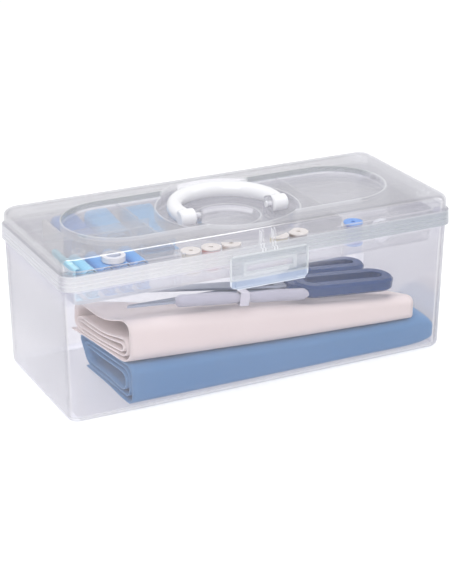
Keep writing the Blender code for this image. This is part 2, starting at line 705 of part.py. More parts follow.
def make_blade(name, side, look, parent):
    """One blade, its tip towards -X. Side is 1 for the upper blade, which points to the rear."""
    half = BLADE_WIDTH / 2
    outline = [
        (BLADE_TAIL, -half * 0.8),
        (BLADE_TAIL, half * 0.7),
        (-0.010, half),
        (-BLADE_LENGTH * 0.6, half * 0.7),
        (-BLADE_LENGTH, half * 0.05),
        (-BLADE_LENGTH * 0.98, -half * 0.15),
        (-0.010, -half * 0.9),
    ]
    outline = turned([(x, y * side) for x, y in outline], -side * BLADE_OPENING)
    low = GAP / 2 if side > 0 else -GAP / 2 - BLADE_THICKNESS
    mesh = bmesh.new()
    flat_plate(mesh, outline, low, low + BLADE_THICKNESS)
    blade = finish(name, mesh, look)
    hole = [circle((0, 0, z), SCREW_RADIUS + GAP, "Z", 16) for z in (-0.01, 0.01)]
    cutter = loft(f"{name}_hole", hole)
    combine(blade, "DIFFERENCE", cutter)
    blade.parent = cutter.parent = parent
    return blade


def make_grip(name, side, loop_half, loop_middle, look, parent):
    """A finger loop with its neck, reaching from the end of a blade. Side is 1 for the rear one."""
    thick = GRIP_THICKNESS / 2
    steps = ((-thick, GRIP_EDGE), (-thick + GRIP_EDGE, 0), (thick - GRIP_EDGE, 0), (thick, GRIP_EDGE))
    rings = [rectangle(loop_half[0] - i, loop_half[1] - i, loop_half[1] - i, z, 7) for z, i in steps]
    move = Vector((*loop_middle, 0))
    grip = loft(name, [[p + move for p in ring] for ring in rings], look)
    hole_x, hole_y = loop_half[0] - GRIP_RIM, loop_half[1] - GRIP_RIM
    hole = [rectangle(hole_x, hole_y, hole_y, z, 7) for z in (-2 * thick, 2 * thick)]
    cutter = loft(f"{name}_hole", [[p + move for p in ring] for ring in hole])
    start_x = BLADE_TAIL * math.cos(BLADE_OPENING) + BLADE_WIDTH / 2 * math.sin(BLADE_OPENING) + GAP / 2
    near, far = (side * y for y in GRIP_NECK)
    end_x = loop_middle[0] - loop_half[0] + GRIP_OVERLAP
    outer, inner = (loop_middle[1] + side * y for y in GRIP_ROOT)
    ends = [(start_x, near), (start_x, far), (end_x, outer), (end_x, inner)]
    mesh = bmesh.new()
    flat_plate(mesh, ends, -thick + 0.0015, thick - 0.0015)
    neck = finish(f"{name}_neck", mesh)
    combine(grip, "UNION", neck)
    combine(grip, "DIFFERENCE", cutter)
    grip.parent = neck.parent = cutter.parent = parent
    return grip


def make_scissors(steel, navy):
    """Tailor's scissors lying half open on the cream cloth, on a parent empty at their screw."""
    scissors = bpy.data.objects.new("scissors", None)
    bpy.context.scene.collection.objects.link(scissors)
    x, y = SCISSORS_PIVOT
    scissors.location = (x, y, cream_top(x) + GRIP_THICKNESS / 2 + 2 * GAP)
    scissors.rotation_euler = (0, SCISSORS_TILT, 0)
    make_blade("scissor_blade_upper", 1, steel, scissors)
    make_blade("scissor_blade_lower", -1, steel, scissors)
    make_grip("scissor_grip_large", -1, LARGE_GRIP_HALF, LARGE_GRIP_MIDDLE, navy, scissors)
    make_grip("scissor_grip_small", 1, SMALL_GRIP_HALF, SMALL_GRIP_MIDDLE, navy, scissors)
    shaft_ends = (-BLADE_THICKNESS - GAP, BLADE_THICKNESS + 0.001)
    shaft = [circle((0, 0, z), SCREW_RADIUS, "Z", 16) for z in shaft_ends]
    screw = loft("scissor_screw", shaft, steel)
    low = BLADE_THICKNESS + 2 * GAP
    steps = ((low, 0), (low + 0.001, 0), (low + 0.0016, 0.001))
    head = [circle((0, 0, z), SCREW_HEAD - inset, "Z", 20) for z, inset in steps]
    cap = loft("scissor_screw_head", head)
    combine(screw, "UNION", cap)
    screw.parent = cap.parent = scissors


def make_hank(look):
    """A folded hank of elastic in front of the scissors, with a band round its middle."""
    along = HANK_RIGHT - HANK_LEFT
    middle = (HANK_LEFT + HANK_RIGHT) / 2
    slope = Matrix.Rotation(-math.atan2(along.y, along.x), 4, "Y")
    turn = Matrix.Translation((middle.x, HANK_Y, middle.y)) @ slope

    def placed(half_x, half_z, radius, thick):
        outline = rectangle(half_x, half_z, radius, 0, 5)
        return [[turn @ Vector((p.x, y, p.y)) for p in outline] for y in (-thick / 2, thick / 2)]

    half = HANK_HEIGHT / 2
    loft("elastic_hank", placed(along.length / 2, half, half, HANK_THICKNESS), look)
    over = GAP + HANK_BAND_THICKNESS
    corner = 0.0008
    band = loft("hank_band", placed(HANK_BAND_WIDTH / 2, half + over, corner, HANK_THICKNESS + 2 * over), look)
    room = placed(HANK_BAND_WIDTH, half + GAP, corner / 2, HANK_THICKNESS + 2 * GAP)
    combine(band, "DIFFERENCE", loft("hank_band_room", room))


def tray_floor():
    return TRAY_BOTTOM + TRAY_WALL + GAP


def make_spool(name, x, spool_look, thread_look):
    """A flanged spool standing in the tray, and the thread wound on it."""
    low = tray_floor()
    high = low + SPOOL_HEIGHT
    profile = (
        (SPOOL_RADIUS, low),
        (SPOOL_RADIUS, low + SPOOL_FLANGE),
        (SPOOL_CORE, low + SPOOL_FLANGE),
        (SPOOL_CORE, high - SPOOL_FLANGE),
        (SPOOL_RADIUS, high - SPOOL_FLANGE),
        (SPOOL_RADIUS, high),
    )
    spool = loft(f"{name}_spool", [circle((x, SPOOL_Y, z), r, "Z", 20) for r, z in profile], spool_look)
    bore = [circle((x, SPOOL_Y, z), SPOOL_BORE, "Z", 12) for z in (low - 0.001, high + 0.001)]
    combine(spool, "DIFFERENCE", loft(f"{name}_spool_bore", bore))
    ends = (low + SPOOL_FLANGE + GAP, high - SPOOL_FLANGE - GAP)
    wound = SPOOL_RADIUS - THREAD_INSET
    thread = loft(f"{name}_thread", [circle((x, SPOOL_Y, z), wound, "Z", 20) for z in ends], thread_look)
    room = [circle((x, SPOOL_Y, z), SPOOL_CORE + GAP, "Z", 20) for z in (low, high)]
    combine(thread, "DIFFERENCE", loft(f"{name}_thread_room", room))


def make_pad(name, low, high, look, corner=0.003):
    """A soft block with rounded sides and edges."""
    half_x, half_y = (high[0] - low[0]) / 2, (high[1] - low[1]) / 2
    move = Vector(((high[0] + low[0]) / 2, (high[1] + low[1]) / 2, 0))
    inset = corner * 0.6
    heights = ((low[2], inset), (low[2] + inset, 0), (high[2] - inset, 0), (high[2], inset))
    rings = [rectangle(half_x - i, half_y - i, corner - i, z, 3) for z, i in heights]
    loft(name, [[p + move for p in ring] for ring in rings], look)


def make_ribbons(blue, white):
    """Flat-wound ribbons standing side by side in the front left compartment, with a roll of tape on them."""
    low = tray_floor()
    front = -TRAY_WIDTH / 2 + TRAY_WALL + TRAY_DRAFT + GAP
    half_x, half_z = RIBBON_SIZE[0] / 2, RIBBON_SIZE[2] / 2
    for number in range(RIBBON_COUNT):
        x = RIBBON_START + number * RIBBON_PITCH
        outline = rectangle(half_z, half_x, half_x, 0, 4)
        rings = [[(x + p.y, y, low + half_z + p.x) for p in outline] for y in (front, front + RIBBON_SIZE[1])]
        loft(f"blue_ribbon_{number + 1}", rings, blue)
    tape_x = RIBBON_START + (RIBBON_COUNT - 1) / 2 * RIBBON_PITCH
    tape_y = front + TAPE_RADIUS
    tape_low = low + RIBBON_SIZE[2] + GAP
    ends = (tape_low, tape_low + TAPE_WIDTH)
    tape = loft("white_tape_roll", [circle((tape_x, tape_y, z), TAPE_RADIUS, "Z", 24) for z in ends], white)
    bore = [circle((tape_x, tape_y, z), TAPE_BORE, "Z", 20) for z in (ends[0] - 0.001, ends[1] + 0.001)]
    combine(tape, "DIFFERENCE", loft("white_tape_bore", bore))


def make_fabrics(looks):
    """Folded pieces of fabric in the left and middle compartments."""
    low = tray_floor()
    left = -TRAY_LENGTH / 2 + TRAY_WALL + TRAY_DRAFT + GAP
    front = -TRAY_WIDTH / 2 + TRAY_WALL + TRAY_DRAFT + GAP
    rear_low = LONG_DIVIDER_Y + DIVIDER_THICKNESS / 2 + 0.0008
    rear_high = -front - 0.001
    ribbon_end = RIBBON_START - RIBBON_SIZE[0] / 2
    cyan_high = (ribbon_end - 2 * GAP, front + 0.048, low + 0.0255)
    make_pad("cyan_cloth", (left, front, low), cyan_high, looks["cyan"])
    beside = DIVIDER_X + DIVIDER_THICKNESS / 2 + GUIDE_SIZE + 0.001
    peach_high = (left + 0.0215, rear_high, low + 0.0265)
    make_pad("peach_tape", (left + 0.016, rear_low, low), peach_high, looks["peach"], 0.002)
    make_pad("navy_fabric", (left + 0.0225, rear_low, low), (-0.1005, rear_high, low + 0.0245), looks["navy"])
    make_pad("sky_fabric", (-0.0995, rear_low, low), (-beside, rear_high, low + 0.0235), looks["sky"])
    inner = DIVIDER_X - DIVIDER_THICKNESS / 2 - GUIDE_SIZE - 0.001
    ribbon_high = (-inner + 0.022, rear_high - 0.006, low + 0.0165)
    make_pad("sky_ribbon", (-inner, rear_low, low), ribbon_high, looks["sky"])


def make_pin_wheel(white):
    """A pin wheel standing on its edge, facing the front."""
    x, y = PIN_WHEEL_PLACE
    z = tray_floor() + PIN_WHEEL_RADIUS
    outline = [Vector((x + p.x, z + p.y)) for p in circle((0, 0, 0), PIN_WHEEL_RADIUS, "Z", 24)]
    loft("pin_wheel", upright(outline, y - PIN_WHEEL_THICKNESS / 2, y + PIN_WHEEL_THICKNESS / 2), white)


def make_contents():
    blue = material("blue_cotton", (0.13, 0.28, 0.5), 0.9)
    cream = material("cream_cotton", (0.8, 0.7, 0.66), 0.9)
    steel = material("steel", (0.55, 0.56, 0.58), 0.3)
    steel.node_tree.nodes["Principled BSDF"].inputs["Metallic"].default_value = 1
    navy = material("navy_plastic", (0.02, 0.03, 0.08), 0.3)
    white = material("white_elastic", (0.88, 0.86, 0.9), 0.8)
    looks = {
        "sky": material("sky_cotton", (0.15, 0.42, 0.8), 0.9),
        "navy": material("navy_cotton", (0.06, 0.1, 0.35), 0.9),
        "cyan": material("cyan_cotton", (0.5, 0.8, 0.92), 0.9),
        "peach": material("peach_tape", (0.9, 0.65, 0.5), 0.8),
    }
    threads = {
        "cream": (0.85, 0.78, 0.62),
        "pink": (0.8, 0.45, 0.45),
        "ivory": (0.88, 0.85, 0.78),
        "yellow": (0.85, 0.75, 0.4),
        "brown": (0.35, 0.25, 0.2),
        "blue": (0.1, 0.25, 0.75),
    }
    make_cloths(blue, cream)
    make_scissors(steel, navy)
    make_hank(white)
    make_ribbons(looks["sky"], white)
    make_fabrics(looks)
    make_pin_wheel(white)
    for place, (name, colour) in zip(SPOOL_PLACES, threads.items()):
        make_spool(name, place, white, material(f"{name}_thread", colour, 0.7))


def clear_scene():
    for obj in list(bpy.data.objects):
        bpy.data.objects.remove(obj)


def main():
    clear_scene()
    frosted = material("frosted_plastic", (0.86, 0.86, 0.9), 0.4, 0.6)
    clear = material("clear_plastic", (0.9, 0.9, 0.93), 0.08, 0.9)
    white = material("white_plastic", (0.95, 0.95, 0.96), 0.25)
    make_base(frosted)
    make_lid(clear)
    make_handle(white)
    make_latch(clear)
    make_tray(frosted)
    make_cross_dividers(frosted)
    make_contents()


main()
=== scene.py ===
# A clear sewing box with its tray, cloths, scissors and threads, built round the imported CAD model.
import json
import math

import bmesh
import bpy
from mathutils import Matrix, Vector, noise


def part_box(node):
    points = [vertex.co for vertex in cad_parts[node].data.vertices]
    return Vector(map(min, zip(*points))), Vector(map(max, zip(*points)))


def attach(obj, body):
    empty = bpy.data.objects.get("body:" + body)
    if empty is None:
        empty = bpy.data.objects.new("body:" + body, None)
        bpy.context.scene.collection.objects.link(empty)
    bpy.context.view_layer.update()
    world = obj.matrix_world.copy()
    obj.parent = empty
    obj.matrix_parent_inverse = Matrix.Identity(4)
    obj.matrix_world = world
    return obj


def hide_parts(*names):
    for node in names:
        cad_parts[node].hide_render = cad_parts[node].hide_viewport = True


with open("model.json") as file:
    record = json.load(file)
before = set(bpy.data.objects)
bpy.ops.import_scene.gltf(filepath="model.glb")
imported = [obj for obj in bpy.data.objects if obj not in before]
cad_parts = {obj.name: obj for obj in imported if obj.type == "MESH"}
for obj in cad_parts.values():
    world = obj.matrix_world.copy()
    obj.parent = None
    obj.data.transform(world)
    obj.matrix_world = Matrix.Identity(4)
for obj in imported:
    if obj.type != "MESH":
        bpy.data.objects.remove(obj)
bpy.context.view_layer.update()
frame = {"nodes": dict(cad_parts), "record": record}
bodyOfNode = {
    node: body for body, nodes in frame["record"]["behaviour"]["bodies"].items() for node in nodes
}
print("frame loaded:", len(bodyOfNode), "nodes")


class Wire:
    # an output socket whose operators add Math nodes
    def __init__(self, paint, socket):
        self.paint = paint
        self.socket = socket

    def join(self, operation, first, second):
        return self.paint.add("ShaderNodeMath", {"operation": operation}, {0: first, 1: second})

    def __add__(self, other):
        return self.join("ADD", self, other)

    def __radd__(self, other):
        return self.join("ADD", other, self)

    def __sub__(self, other):
        return self.join("SUBTRACT", self, other)

    def __rsub__(self, other):
        return self.join("SUBTRACT", other, self)

    def __mul__(self, other):
        return self.join("MULTIPLY", self, other)

    def __rmul__(self, other):
        return self.join("MULTIPLY", other, self)

    def __pow__(self, other):
        return self.join("POWER", self, other)

    def __abs__(self):
        return self.alone("ABSOLUTE")

    def alone(self, operation):
        return self.paint.add("ShaderNodeMath", {"operation": operation}, {0: self})


class Paint:
    # a material, and the one way in which its nodes are added
    def __init__(self, name, settings):
        self.material = bpy.data.materials.new(name)
        self.material.use_nodes = True
        self.tree = self.material.node_tree
        self.shader = self.tree.nodes["Principled BSDF"]
        self.output = self.tree.nodes["Material Output"]
        self.fill(self.shader, settings)

    def fill(self, node, inputs):
        for key, value in inputs.items():
            if isinstance(value, Wire):
                self.tree.links.new(value.socket, node.inputs[key])
            else:
                node.inputs[key].default_value = value

    def add(self, kind, settings=None, inputs=None, output=0):
        node = self.tree.nodes.new(kind)
        for key, value in (settings or {}).items():
            setattr(node, key, value)
        self.fill(node, inputs or {})
        return Wire(self, node.outputs[output])

    def place(self):
        return self.add("ShaderNodeTexCoord", output=3)

    def mapped(self, scale, source):
        return self.add("ShaderNodeMapping", None, {"Vector": source, "Scale": scale})

    def cloudy(self, scale, detail=3.0, source=None):
        inputs = {"Vector": source or self.place(), "Scale": scale, "Detail": detail}
        return self.add("ShaderNodeTexNoise", None, inputs)

    def bump(self, height, strength, distance):
        inputs = {"Height": height, "Strength": strength, "Distance": distance}
        return self.add("ShaderNodeBump", None, inputs)

    def mixColour(self, share, first, second):
        inputs = {0: share, 6: first, 7: second}
        return self.add("ShaderNodeMix", {"data_type": "RGBA"}, inputs, 2)

    def mixShader(self, share, first, second):
        return self.add("ShaderNodeMixShader", None, {0: share, 1: first, 2: second})

    def larger(self, first, second):
        return self.add("ShaderNodeMath", {"operation": "MAXIMUM"}, {0: first, 1: second})

    def smaller(self, first, second):
        return self.add("ShaderNodeMath", {"operation": "MINIMUM"}, {0: first, 1: second})

    def step(self, value, start, end, low, high):
        ends = {"Value": value, "From Min": start, "From Max": end, "To Min": low, "To Max": high}
        return self.add("ShaderNodeMapRange", {"interpolation_type": "SMOOTHSTEP"}, ends)

    def rise(self, value, span):
        return self.step(value, *span, 0.0, 1.0)

    def fall(self, value, span, rest=0.0):
        return self.step(value, *span, 1.0, rest)

    def surface(self, wire):
        self.tree.links.new(wire.socket, self.output.inputs["Surface"])


def rgba(red, green, blue, alpha=1.0):
    return (red, green, blue, alpha)


black = rgba(0.0, 0.0, 0.0)

# what the see-through plastics share
sheerLook = {
    "glow": 0.62,  # painted light: how strongly the milk glows by itself, as if lit from within
    "rougher": 0.2,  # the milk's roughness over the skin's
    "clouds": (0.5, 0.75),  # how much the veil varies, and its least share
    "dimmed": 0.6,  # share of black in the milk's own colour
    "ior": 1.42,
    "mirror": 0.6,
    "light": 0.93,  # how much of the lamps' light gets in
}

# veil: how milky a wall is face on. edge: how much more where it is seen edge on.
# A line is its half width and veil. A wash is its veil, its share of colour and the colour.
lidLook = {
    "veil": 0.045, "edge": 0.40, "edgePower": 2.4, "gloss": 0.06, "grain": 60.0,
    "through": rgba(0.976, 0.974, 0.984),
    "face": rgba(0.77, 0.765, 0.83), "rim": rgba(0.66, 0.67, 0.73),
    "top": (0.1185, 0.1200),
    "skirtTop": (0.1164, 0.1180),
    "skirtSides": ((0.1540, 0.1575), (0.0600, 0.0630)),
    "skirtVeil": 0.46, "skirtTint": 0.9,
    "skirtLines": (0.1066, 0.1098, 0.1128, 0.1170), "skirtLine": (0.0004, 0.22),
    "skirtAcross": (-0.13, 0.13),
    "skirtLeft": rgba(0.76, 0.755, 0.78), "skirtRight": rgba(0.41, 0.445, 0.49),
    "skirtEnd": rgba(0.51, 0.51, 0.585), "endSpan": (0.1600, 0.1640), "endTint": 0.8,
    "slot": (0.0935, 0.0425), "slotLine": (0.0007, 0.30),
    "rounds": (0.0565, 0.0260), "roundLine": (0.0006, 0.26), "roundBlur": 0.001,
    "nub": (0.1457, 0.0518, 0.0045), "nubLine": (0.0006, 0.22),
    "caughtTint": 2.2, "caught": rgba(0.92, 0.93, 0.96),
    "ribSpacing": 0.005, "ribLine": (0.00125, 0.0004, 0.5),
    "ribFront": (-0.0655, -0.0640), "ribTop": (0.1120, 0.1130),
    "darkLine": (0.0011, 0.55), "darkInset": 0.0004,
    "darkTop": (0.1255, 0.1262), "darkRear": (0.0, 0.02),
    "darkTint": 1.6, "dark": rgba(0.30, 0.32, 0.34),
    "wellBlur": 0.003, "wellWash": (0.05, 0.7, rgba(0.50, 0.50, 0.55)),
    "cornerSpan": (0.1250, 0.1600), "cornerWash": (0.06, 0.8, rgba(0.92, 0.92, 1.0)),
}
baseLook = {
    "veil": 0.045, "edge": 0.34, "edgePower": 2.2, "gloss": 0.20, "grain": 350.0,
    "through": rgba(0.976, 0.973, 0.986),
    "face": rgba(0.76, 0.755, 0.84), "rim": rgba(0.64, 0.63, 0.73),
    "rimBand": (0.0885, 0.1010), "rimVeil": 0.30,
    "rightSpan": (0.0, 0.14), "clearer": 0.65, "rearRight": 0.10,
    "frontSpan": (-0.0660, -0.0600),
    "leftSpan": (-0.14, -0.08), "lowSpan": (0.03, 0.06), "aboveLow": 0.35,
    "frontLeft": (0.03, 0.8, rgba(0.92, 0.91, 0.98)),
    "rearSpan": (0.0560, 0.0620), "rear": (0.12, 0.8, rgba(0.69, 0.68, 0.725)),
    "floorSpan": (0.0030, 0.0045), "floor": (0.10, 0.8, rgba(0.88, 0.88, 0.97)),
    "rightEndSpan": (0.1540, 0.1575), "rightEnd": (0.11, 0.7, rgba(0.50, 0.50, 0.60)),
    "leftEndSpan": (-0.1575, -0.1540), "endLow": (0.02, 0.07),
    "leftEndHigh": (0.0, 0.8, rgba(0.53, 0.52, 0.64)),
    "leftEndLow": (0.08, 0.6, rgba(0.86, 0.85, 0.94)),
    "footLine": (0.0030, 0.0012, 1.0), "foot": (0.14, 0.7, rgba(0.86, 0.87, 0.95)),
    "bandLine": (0.1040, 0.0005, 0.25),
}
trayLook = {
    "veil": 0.035, "edge": 0.20, "edgePower": 2.0, "gloss": 0.10, "grain": 200.0,
    "through": rgba(0.980, 0.980, 0.986),
    "face": rgba(0.80, 0.80, 0.84), "rim": rgba(0.88, 0.89, 0.92),
    "levels": (0.0908, 0.1170), "levelLine": (0.0005, 0.30),
    "wallLine": (0.0075, 0.0010, 0.22), "wallFoot": (0.0925, 0.0940),
}
dividerLook = {**trayLook, "endLine": (0.0555, 0.0006, 0.5), "topLine": (0.1226, 0.0006, 0.45)}
latchLook = {
    "veil": 0.24, "edge": 0.55, "edgePower": 1.6, "gloss": 0.08, "grain": 20.0,
    "through": rgba(0.97, 0.975, 0.985),
    "face": rgba(0.50, 0.54, 0.58), "rim": rgba(0.72, 0.75, 0.80),
    "lip": (0.0918, 0.0930), "lipVeil": 0.30, "lipColour": rgba(0.47, 0.55, 0.72),
    "windowMiddle": 0.10085,
    "windowSides": (0.0210, 0.0014, 1.0), "windowAcross": (0.0215, 0.0230),
    "windowEnds": (0.0042, 0.0014, 1.0), "windowUp": (0.0050, 0.0060),
    "windowVeil": 0.14, "windowTint": 0.35,
    "sideLine": (0.0326, 0.0005, 1.0),
    "levelLines": ((0.0866, 0.0005, 1.0), (0.1118, 0.0005, 1.0), (0.0928, 0.0004, 0.8)),
    "edgeVeil": 0.30, "edgeTint": 0.6, "edgeColour": rgba(0.90, 0.92, 0.95),
}


class Sheer(Paint):
    # a see-through wall: a veil that thickens where it is seen edge on and glows with painted light,
    # under a reflecting skin
    def __init__(self, name, look):
        milk = {"Roughness": look["gloss"] + sheerLook["rougher"]}
        super().__init__(name, {**milk, "Emission Strength": sheerLook["glow"]})
        self.look = look
        where = self.add("ShaderNodeSeparateXYZ", None, {0: self.place()})
        self.x, self.y, self.z = (Wire(self, where.socket.node.outputs[i]) for i in range(3))
        facing = self.add("ShaderNodeLayerWeight", None, {"Blend": 0.5}, 1)
        varied, least = sheerLook["clouds"]
        clouds = self.cloudy(look["grain"]) * varied + least
        self.veil = facing ** look["edgePower"] * look["edge"] + look["veil"] * clouds
        self.colour = self.mixColour(facing**3, look["face"], look["rim"])

    def line(self, value, level, half, veil):
        # a narrow band where value is near level
        return self.step(abs(value - level), half * 0.5, half * 1.5, veil, 0.0)

    def tint(self, share, colour):
        self.colour = self.mixColour(share, self.colour, colour)

    def wash(self, mask, amounts):
        veil, share, colour = amounts
        self.veil = self.veil + mask * veil
        self.tint(mask * share, colour)

    def finish(self):
        look = self.look
        # painted light: the milk's colour is dimmed as its base colour and used whole as its
        # emission colour, so the veil glows without lamps
        dimmed = self.mixColour(sheerLook["dimmed"], self.colour, black)
        self.fill(self.shader, {"Base Color": dimmed, "Emission Color": self.colour})
        clear = self.add("ShaderNodeBsdfTransparent", None, {"Color": look["through"]})
        milk = Wire(self, self.shader.outputs[0])
        body = self.mixShader(self.veil, clear, milk)
        skin = self.add("ShaderNodeBsdfGlossy", None, {"Roughness": look["gloss"]})
        mirror = self.add("ShaderNodeFresnel", None, {"IOR": sheerLook["ior"]})
        coated = self.mixShader(mirror * sheerLook["mirror"], body, skin)
        # milky plastic scatters nearly all of the lamps' light inwards, so its shadow is faint
        shadow = self.add("ShaderNodeLightPath", None, None, 1)
        unshaded = self.add("ShaderNodeBsdfTransparent")
        self.surface(self.mixShader(shadow * sheerLook["light"], coated, unshaded))
        return self.material


def lidPlastic():
    paint = Sheer("lidPlastic", lidLook)
    look = paint.look
    sideX, sideY = abs(paint.x), abs(paint.y)
    top = paint.rise(paint.z, look["top"])
    # the skirt is milkier than the top, with painted highlight lines round it
    endSides, longSides = look["skirtSides"]
    outside = paint.larger(paint.rise(sideX, endSides), paint.rise(sideY, longSides))
    skirt = outside * paint.fall(paint.z, look["skirtTop"])
    paint.veil = paint.veil + skirt * look["skirtVeil"]
    for level in look["skirtLines"]:
        paint.veil = paint.veil + outside * paint.line(paint.z, level, *look["skirtLine"])
    # painted highlights: light caught along the recesses' edges and round the stacking nubs
    straight, bend = look["slot"]
    wellRadius = look["rounds"][0]
    over = paint.larger(sideX - straight, 0.0)
    reach = (over**2 + sideY**2) ** 0.5
    middle = (sideX**2 + sideY**2) ** 0.5
    blur = look["roundBlur"]
    pastWell = paint.rise(middle, (wellRadius - blur, wellRadius + blur))
    caught = paint.line(reach, bend, *look["slotLine"]) * top * pastWell
    for radius in look["rounds"]:
        caught = caught + paint.line(middle, radius, *look["roundLine"])
    nubX, nubY, nubRadius = look["nub"]
    nub = ((sideX - nubX) ** 2 + (sideY - nubY) ** 2) ** 0.5
    caught = caught + paint.line(nub, nubRadius, *look["nubLine"]) * top
    # painted shade: the far side of the long recess is painted dark, as a clear wall looks side on
    dark = paint.line(reach, bend - look["darkInset"], *look["darkLine"])
    dark = dark * paint.rise(paint.z, look["darkTop"]) * paint.rise(paint.y, look["darkRear"])
    dark = dark * pastWell
    # two thin rib lines near the front, painted in the highlight colour
    ribs = paint.line(abs(sideX - look["ribSpacing"]), *look["ribLine"])
    ribs = ribs * paint.fall(paint.y, look["ribFront"]) * paint.rise(paint.z, look["ribTop"])
    paint.veil = paint.veil + caught + ribs + dark
    # painted light: the top is washed lighter towards its right-hand corner
    paint.wash(paint.rise(paint.x, look["cornerSpan"]) * top, look["cornerWash"])
    # painted shade in the handle's well, under the handle
    well = paint.fall(middle, (wellRadius - look["wellBlur"], wellRadius))
    paint.wash(well, look["wellWash"])
    # painted shade on the skirt: lighter at the left, darker towards the right and on both ends
    across = paint.rise(paint.x, look["skirtAcross"])
    skirtTint = paint.mixColour(across, look["skirtLeft"], look["skirtRight"])
    onEnd = paint.step(sideX, *look["endSpan"], 0.0, look["endTint"])
    skirtTint = paint.mixColour(onEnd, skirtTint, look["skirtEnd"])
    paint.tint(skirt * look["skirtTint"], skirtTint)
    paint.tint(caught * look["caughtTint"] + ribs, look["caught"])
    paint.tint(dark * look["darkTint"], look["dark"])
    return paint.finish()


def basePlastic():
    paint = Sheer("basePlastic", baseLook)
    look = paint.look
    paint.veil = paint.veil + paint.step(paint.z, *look["rimBand"], 0.0, look["rimVeil"])
    # painted light and shade: the walls are washed lighter at the front left, on the floor, along
    # the foot and low on the left end, and darker at the rear, on the right end and high on the left
    # end
    rear = paint.rise(paint.y, look["rearSpan"])
    right = paint.rise(paint.x, look["rightSpan"])
    front = paint.fall(paint.y, look["frontSpan"])
    low = paint.fall(paint.z, look["lowSpan"], look["aboveLow"])
    left = paint.fall(paint.x, look["leftSpan"]) * low
    clearer = 1 - right * front * look["clearer"]
    paint.veil = paint.veil * clearer + rear * right * look["rearRight"]
    paint.wash(front * left, look["frontLeft"])
    paint.wash(rear, look["rear"])
    paint.wash(paint.fall(paint.z, look["floorSpan"]), look["floor"])
    paint.wash(paint.rise(paint.x, look["rightEndSpan"]), look["rightEnd"])
    leftEnd = paint.fall(paint.x, look["leftEndSpan"])
    paint.wash(leftEnd * paint.rise(paint.z, look["endLow"]), look["leftEndHigh"])
    paint.wash(leftEnd * paint.fall(paint.z, look["endLow"]), look["leftEndLow"])
    paint.wash(paint.line(paint.z, *look["footLine"]), look["foot"])
    # a painted highlight line along the rim
    paint.veil = paint.veil + paint.line(paint.z, *look["bandLine"])
    return paint.finish()


def trayPlastic():
    paint = Sheer("trayPlastic", trayLook)
    look = paint.look
    for level in look["levels"]:
        paint.veil = paint.veil + paint.line(paint.z, level, *look["levelLine"])
    wall = paint.line(paint.y, *look["wallLine"]) * paint.rise(paint.z, look["wallFoot"])
    paint.veil = paint.veil + wall
    return paint.finish()


def dividerPlastic():
    paint = Sheer("dividerPlastic", dividerLook)
    ends = paint.line(abs(paint.y), *paint.look["endLine"])
    paint.veil = paint.veil + ends + paint.line(paint.z, *paint.look["topLine"])
    return paint.finish()


def latchPlastic():
    paint = Sheer("latchPlastic", latchLook)
    look = paint.look
    sideX, fromMiddle = abs(paint.x), abs(paint.z - look["windowMiddle"])
    lip = paint.fall(paint.z, look["lip"])
    sides = paint.line(sideX, *look["windowSides"]) * paint.fall(fromMiddle, look["windowUp"])
    ends = paint.line(fromMiddle, *look["windowEnds"]) * paint.fall(sideX, look["windowAcross"])
    window = paint.larger(sides, ends)
    edge = paint.line(sideX, *look["sideLine"])
    for levelLine in look["levelLines"]:
        edge = edge + paint.line(paint.z, *levelLine)
    edge = paint.smaller(edge, 1.0)
    veil = lip * look["lipVeil"] + window * look["windowVeil"] + edge * look["edgeVeil"]
    paint.veil = paint.veil + veil
    paint.tint(lip, look["lipColour"])
    paint.tint(window * look["windowTint"] + edge * look["edgeTint"], look["edgeColour"])
    return paint.finish()


mouldedLook = {
    "grain": 900.0, "grainBump": (0.05, 0.0002), "waves": 60.0, "wavy": 0.08, "coat": 0.08,
}


def mouldedPlastic(name, colour, roughness, coat=0.3, shine=rgba(1.0, 1.0, 1.0)):
    skin = {"Coat Weight": coat, "Coat Roughness": mouldedLook["coat"]}
    tints = {"Specular Tint": shine, "Coat Tint": shine}
    paint = Paint(name, {"Base Color": colour, **skin, **tints})
    grain = paint.cloudy(mouldedLook["grain"])
    waves = paint.cloudy(mouldedLook["waves"])
    skin = {
        "Roughness": roughness + waves * mouldedLook["wavy"],
        "Normal": paint.bump(grain, *mouldedLook["grainBump"]),
    }
    paint.fill(paint.shader, skin)
    return paint.material


wovenLook = {
    "roughness": 0.88, "sheen": 0.25, "sheenRoughness": 0.4,
    "pitch": 0.0006, "depth": 0.5, "bump": 0.0002,
    "slubs": (260.0, 2.0, (1.0, 6.0, 1.0)), "fading": 22.0,
    "weaveShare": 0.22, "slubShare": 0.5, "fadeShare": 0.45, "weaveRelief": 0.6,
}


def woven(name, colour, shade, pitch=wovenLook["pitch"], depth=wovenLook["depth"]):
    # plain weave on the piece's own flat layout, with slubs and slight fading
    look = wovenLook
    sheen = {"Sheen Weight": look["sheen"], "Sheen Roughness": look["sheenRoughness"]}
    paint = Paint(name, {"Roughness": look["roughness"], **sheen})
    flat = paint.add("ShaderNodeUVMap", {"uv_map": "flat"})
    along = paint.add("ShaderNodeSeparateXYZ", None, {0: flat})
    across = Wire(paint, along.socket.node.outputs[1])
    turns = 2 * math.pi / pitch
    weave = (along * turns).alone("SINE") * (across * turns).alone("SINE")
    scale, detail, stretch = look["slubs"]
    slubs = paint.cloudy(scale, detail, paint.mapped(stretch, flat))
    fading = paint.cloudy(look["fading"])
    share = weave * look["weaveShare"] + slubs * look["slubShare"] + fading * look["fadeShare"]
    cloth = {
        "Base Color": paint.mixColour(share, colour, shade),
        "Normal": paint.bump(weave * look["weaveRelief"] + slubs, depth, look["bump"]),
    }
    paint.fill(paint.shader, cloth)
    return paint.material


threadLook = {
    "roughness": 0.55, "sheen": 0.3, "pitch": 0.0006, "stray": (400.0, 2.0),
    "strandShare": 0.6, "strayShare": 0.4, "bump": (0.7, 0.0003),
}


